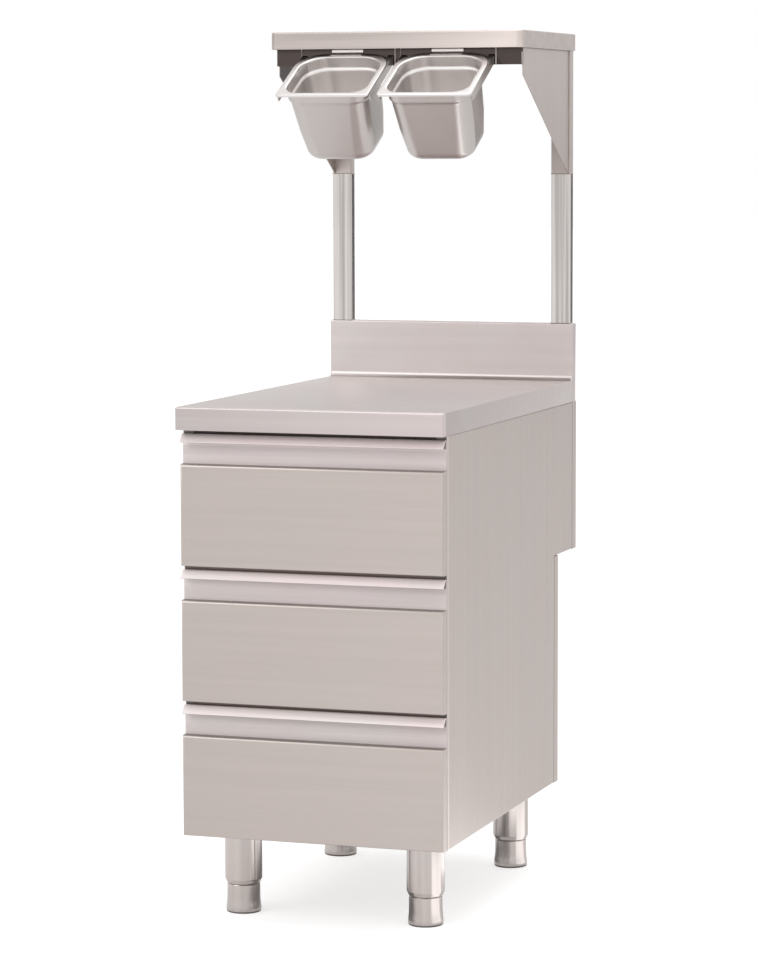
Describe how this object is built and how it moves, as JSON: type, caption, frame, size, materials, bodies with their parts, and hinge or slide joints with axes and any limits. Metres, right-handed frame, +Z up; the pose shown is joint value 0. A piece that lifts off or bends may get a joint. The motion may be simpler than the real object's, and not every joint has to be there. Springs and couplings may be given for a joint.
{
  "type": "condiment station cabinet",
  "caption": "Narrow stainless cabinet with full-width drawers on adjustable legs, and a raised shelf on posts that carries tilted condiment pans over the worktop.",
  "frame": {"origin": "on the floor, under the middle of the outline", "axes": "+X to the right as one faces the drawers, +Y from the drawer fronts to the back, +Z up"},
  "size_m": [0.484, 0.828, 1.548],
  "materials": {
    "panel_steel": "brushed along its length",
    "frame_steel": "plain mill",
    "worktop_steel": "brushed from side to side",
    "front_steel": "brushed from side to side",
    "box_steel": "fine satin",
    "runner_steel": "zinc plated, satin",
    "leg_steel": "polished satin tube",
    "foot_steel": "satin",
    "gantry_steel": "brushed along its length",
    "holder_steel": "plain mill",
    "pan_steel": "bright drawn",
    "underlay_board": "sound-deadening board, matt"
  },
  "bodies": {
    "cabinet": {"left_side_panel": "panel_steel", "right_side_panel": "panel_steel", "upper_back_cover": "panel_steel", "lower_back_cover": "panel_steel", "step_panel": "panel_steel", "bottom_panel": "panel_steel", "top_frame": "frame_steel", "top_cross_rail": "frame_steel", "upper_cross_rail": "frame_steel", "lower_cross_rail": "frame_steel", "left_runner_uprights": "frame_steel", "right_runner_uprights": "frame_steel", "worktop": "worktop_steel", "worktop_underlay": "underlay_board", "bottom_outer_runner_left": "runner_steel", "bottom_outer_runner_right": "runner_steel", "middle_outer_runner_left": "runner_steel", "middle_outer_runner_right": "runner_steel", "top_outer_runner_left": "runner_steel", "top_outer_runner_right": "runner_steel", "legs": "leg_steel", "left_post": "gantry_steel", "left_gusset": "gantry_steel", "left_pan_holder": "holder_steel", "right_post": "gantry_steel", "right_gusset": "gantry_steel", "right_pan_holder": "holder_steel", "shelf": "gantry_steel", "pan_rail": "holder_steel", "pan_clips": "holder_steel"},
    "bottom_drawer": {"bottom_drawer_front": "front_steel", "bottom_drawer_liner": "frame_steel", "bottom_drawer_box": "box_steel", "bottom_inner_runner_left": "runner_steel", "bottom_inner_runner_right": "runner_steel"},
    "bottom_middle_runners": {"bottom_middle_runner_left": "runner_steel", "bottom_middle_runner_right": "runner_steel"},
    "middle_drawer": {"middle_drawer_front": "front_steel", "middle_drawer_liner": "frame_steel", "middle_drawer_box": "box_steel", "middle_inner_runner_left": "runner_steel", "middle_inner_runner_right": "runner_steel"},
    "middle_middle_runners": {"middle_middle_runner_left": "runner_steel", "middle_middle_runner_right": "runner_steel"},
    "top_drawer": {"top_drawer_front": "front_steel", "top_drawer_liner": "frame_steel", "top_drawer_box": "box_steel", "top_inner_runner_left": "runner_steel", "top_inner_runner_right": "runner_steel"},
    "top_middle_runners": {"top_middle_runner_left": "runner_steel", "top_middle_runner_right": "runner_steel"},
    "front_left_foot": {"front_left_foot": "foot_steel"},
    "front_right_foot": {"front_right_foot": "foot_steel"},
    "rear_left_foot": {"rear_left_foot": "foot_steel"},
    "rear_right_foot": {"rear_right_foot": "foot_steel"},
    "left_pan": {"left_pan": "pan_steel"},
    "right_pan": {"right_pan": "pan_steel"}
  },
  "joints": [
    {"name": "bottom_drawer_slide", "type": "slide", "parent": "cabinet", "child": "bottom_drawer", "axis": [0, -1, 0], "range_m": [0, 0.56]},
    {"name": "bottom_middle_runner_slide", "type": "slide", "parent": "cabinet", "child": "bottom_middle_runners", "axis": [0, -1, 0], "range_m": [0, 0.28]},
    {"name": "middle_drawer_slide", "type": "slide", "parent": "cabinet", "child": "middle_drawer", "axis": [0, -1, 0], "range_m": [0, 0.56]},
    {"name": "middle_middle_runner_slide", "type": "slide", "parent": "cabinet", "child": "middle_middle_runners", "axis": [0, -1, 0], "range_m": [0, 0.28]},
    {"name": "top_drawer_slide", "type": "slide", "parent": "cabinet", "child": "top_drawer", "axis": [0, -1, 0], "range_m": [0, 0.56]},
    {"name": "top_middle_runner_slide", "type": "slide", "parent": "cabinet", "child": "top_middle_runners", "axis": [0, -1, 0], "range_m": [0, 0.28]},
    {"name": "front_left_foot_screw", "type": "slide", "parent": "cabinet", "child": "front_left_foot", "axis": [0, 0, -1], "range_m": [0, 0.025]},
    {"name": "front_right_foot_screw", "type": "slide", "parent": "cabinet", "child": "front_right_foot", "axis": [0, 0, -1], "range_m": [0, 0.025]},
    {"name": "rear_left_foot_screw", "type": "slide", "parent": "cabinet", "child": "rear_left_foot", "axis": [0, 0, -1], "range_m": [0, 0.025]},
    {"name": "rear_right_foot_screw", "type": "slide", "parent": "cabinet", "child": "rear_right_foot", "axis": [0, 0, -1], "range_m": [0, 0.025]},
    {"name": "left_pan_slide", "type": "slide", "parent": "cabinet", "child": "left_pan", "axis": [0, -0.8829, -0.4695], "range_m": [0, 0.17]},
    {"name": "right_pan_slide", "type": "slide", "parent": "cabinet", "child": "right_pan", "axis": [0, -0.8829, -0.4695], "range_m": [0, 0.17]}
  ],
  "couplings": [
    {"joint": "bottom_middle_runner_slide", "follows": "bottom_drawer_slide", "ratio": 0.5},
    {"joint": "middle_middle_runner_slide", "follows": "middle_drawer_slide", "ratio": 0.5},
    {"joint": "top_middle_runner_slide", "follows": "top_drawer_slide", "ratio": 0.5}
  ]
}
